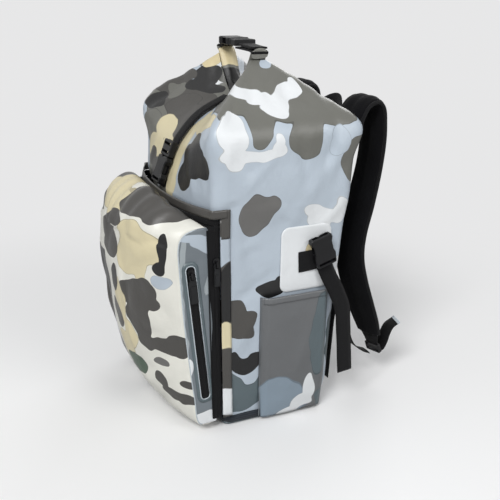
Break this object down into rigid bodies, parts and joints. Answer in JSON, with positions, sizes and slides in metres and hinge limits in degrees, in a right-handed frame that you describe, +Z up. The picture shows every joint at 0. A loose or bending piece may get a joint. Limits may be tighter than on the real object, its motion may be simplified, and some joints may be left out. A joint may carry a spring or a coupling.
{
  "type": "tackle backpack",
  "caption": "Roll-top fishing tackle backpack with a zipped front compartment, side slip pockets, padded shoulder straps and side-release buckles.",
  "frame": {"origin": "centre of the flat base, on the surface the pack stands on", "axes": "+Z up, -Y the front compartment, +Y the back with the shoulder straps, +X the wearer's right"},
  "size_m": [0.3232, 0.4518, 0.5432],
  "materials": {
    "camo_fabric": "satin coated fabric",
    "black_webbing": "woven",
    "black_plastic": "moulded",
    "grey_fabric": "satin coated fabric",
    "white_fabric": "satin coated fabric",
    "zip_tape": "woven tape and coil",
    "zip_metal": "black painted metal",
    "rubber_pull": "soft matte",
    "padded_mesh": "air mesh over foam",
    "frame_board": "sheet"
  },
  "bodies": {
    "pack": {"side_panel_right": "camo_fabric", "side_panel_left": "camo_fabric", "front_panel": "camo_fabric", "back_panel": "camo_fabric", "roll_top": "camo_fabric", "base_panel": "grey_fabric", "base_hem": "rubber_pull", "mouth_roll": "camo_fabric", "zip_flange": "camo_fabric", "body_zip_tape": "zip_tape", "top_buckle_female": "black_plastic", "closure_tab_right": "black_webbing", "closure_tab_left": "black_webbing", "front_anchor": "black_webbing", "front_strap": "black_webbing", "front_buckle_female": "black_plastic", "frame_sheet": "frame_board", "back_pad": "padded_mesh", "shoulder_yoke": "padded_mesh", "slip_pocket_right": "grey_fabric", "slip_pocket_left": "grey_fabric", "slip_hem_right": "grey_fabric", "slip_hem_left": "grey_fabric", "side_patch_right": "white_fabric", "side_patch_left": "white_fabric", "side_anchor_right": "black_webbing", "side_anchor_left": "black_webbing", "side_strap_tail_right": "black_webbing", "side_strap_tail_left": "black_webbing", "lower_webbing_right": "black_webbing", "lower_webbing_left": "black_webbing", "corner_tab_right": "black_webbing", "corner_tab_left": "black_webbing"},
    "front_compartment": {"compartment_cover": "camo_fabric", "gusset_right": "camo_fabric", "gusset_left": "camo_fabric", "flap_zip_tape": "zip_tape", "side_zip_welt": "grey_fabric", "side_zip_tape": "zip_tape"},
    "front_zip_slider": {"front_zip_slider": "zip_metal"},
    "front_zip_pull": {"front_zip_pull": "rubber_pull"},
    "side_zip_slider": {"side_zip_slider": "zip_metal"},
    "side_zip_pull": {"side_zip_pull": "rubber_pull"},
    "top_buckle_male": {"top_buckle_male": "black_plastic"},
    "front_buckle_male": {"front_buckle_male": "black_plastic"},
    "side_buckle_right": {"side_buckle_right": "black_plastic"},
    "side_buckle_left": {"side_buckle_left": "black_plastic"},
    "shoulder_strap_right": {"shoulder_strap_right": "padded_mesh", "strap_end_tab_right": "padded_mesh", "ladder_lock_right": "black_plastic", "webbing_tail_right": "black_webbing"},
    "shoulder_strap_left": {"shoulder_strap_left": "padded_mesh", "strap_end_tab_left": "padded_mesh", "ladder_lock_left": "black_plastic", "webbing_tail_left": "black_webbing"},
    "grab_handle": {"grab_handle": "black_webbing"}
  },
  "joints": [
    {"name": "front_compartment_open", "type": "hinge", "parent": "pack", "child": "front_compartment", "pos_m": [0, -0.094, 0.016], "axis": [1, 0, 0], "range_deg": [0, 30]},
    {"name": "front_zip_slide", "type": "slide", "parent": "pack", "child": "front_zip_slider", "axis": [0, 0.0205, -0.9998], "range_m": [-0.035, 0.222]},
    {"name": "front_zip_pull_swing", "type": "hinge", "parent": "front_zip_slider", "child": "front_zip_pull", "pos_m": [0.149, -0.0992, 0.262], "axis": [0, -1, 0], "range_deg": [0, 150]},
    {"name": "side_zip_slide", "type": "slide", "parent": "front_compartment", "child": "side_zip_slider", "axis": [0, 0.1063, -0.9943], "range_m": [0, 0.178]},
    {"name": "side_zip_pull_swing", "type": "hinge", "parent": "side_zip_slider", "child": "side_zip_pull", "pos_m": [0.1486, -0.13517, 0.25048], "axis": [0, -0.9943, -0.1063], "range_deg": [0, 150]},
    {"name": "top_buckle_release", "type": "slide", "parent": "pack", "child": "top_buckle_male", "axis": [1, 0, 0], "range_m": [0, 0.03]},
    {"name": "front_buckle_release", "type": "slide", "parent": "pack", "child": "front_buckle_male", "axis": [0, 0.3647, 0.9311], "range_m": [0, 0.03]},
    {"name": "side_buckle_swing_right", "type": "hinge", "parent": "pack", "child": "side_buckle_right", "pos_m": [0.1555, 0.068, 0.24], "axis": [0, 0.9563, 0.2924], "range_deg": [0, 100]},
    {"name": "side_buckle_swing_left", "type": "hinge", "parent": "pack", "child": "side_buckle_left", "pos_m": [-0.1555, 0.068, 0.24], "axis": [0, -0.9563, -0.2924], "range_deg": [0, 100]},
    {"name": "shoulder_strap_swing_right", "type": "hinge", "parent": "pack", "child": "shoulder_strap_right", "pos_m": [0.095, 0.124, 0.438], "axis": [1, 0, 0], "range_deg": [0, 30]},
    {"name": "shoulder_strap_swing_left", "type": "hinge", "parent": "pack", "child": "shoulder_strap_left", "pos_m": [-0.095, 0.124, 0.438], "axis": [1, 0, 0], "range_deg": [0, 30]},
    {"name": "grab_handle_lift", "type": "hinge", "parent": "pack", "child": "grab_handle", "pos_m": [0, 0.1234, 0.42], "axis": [1, 0, 0], "range_deg": [0, 30]}
  ]
}
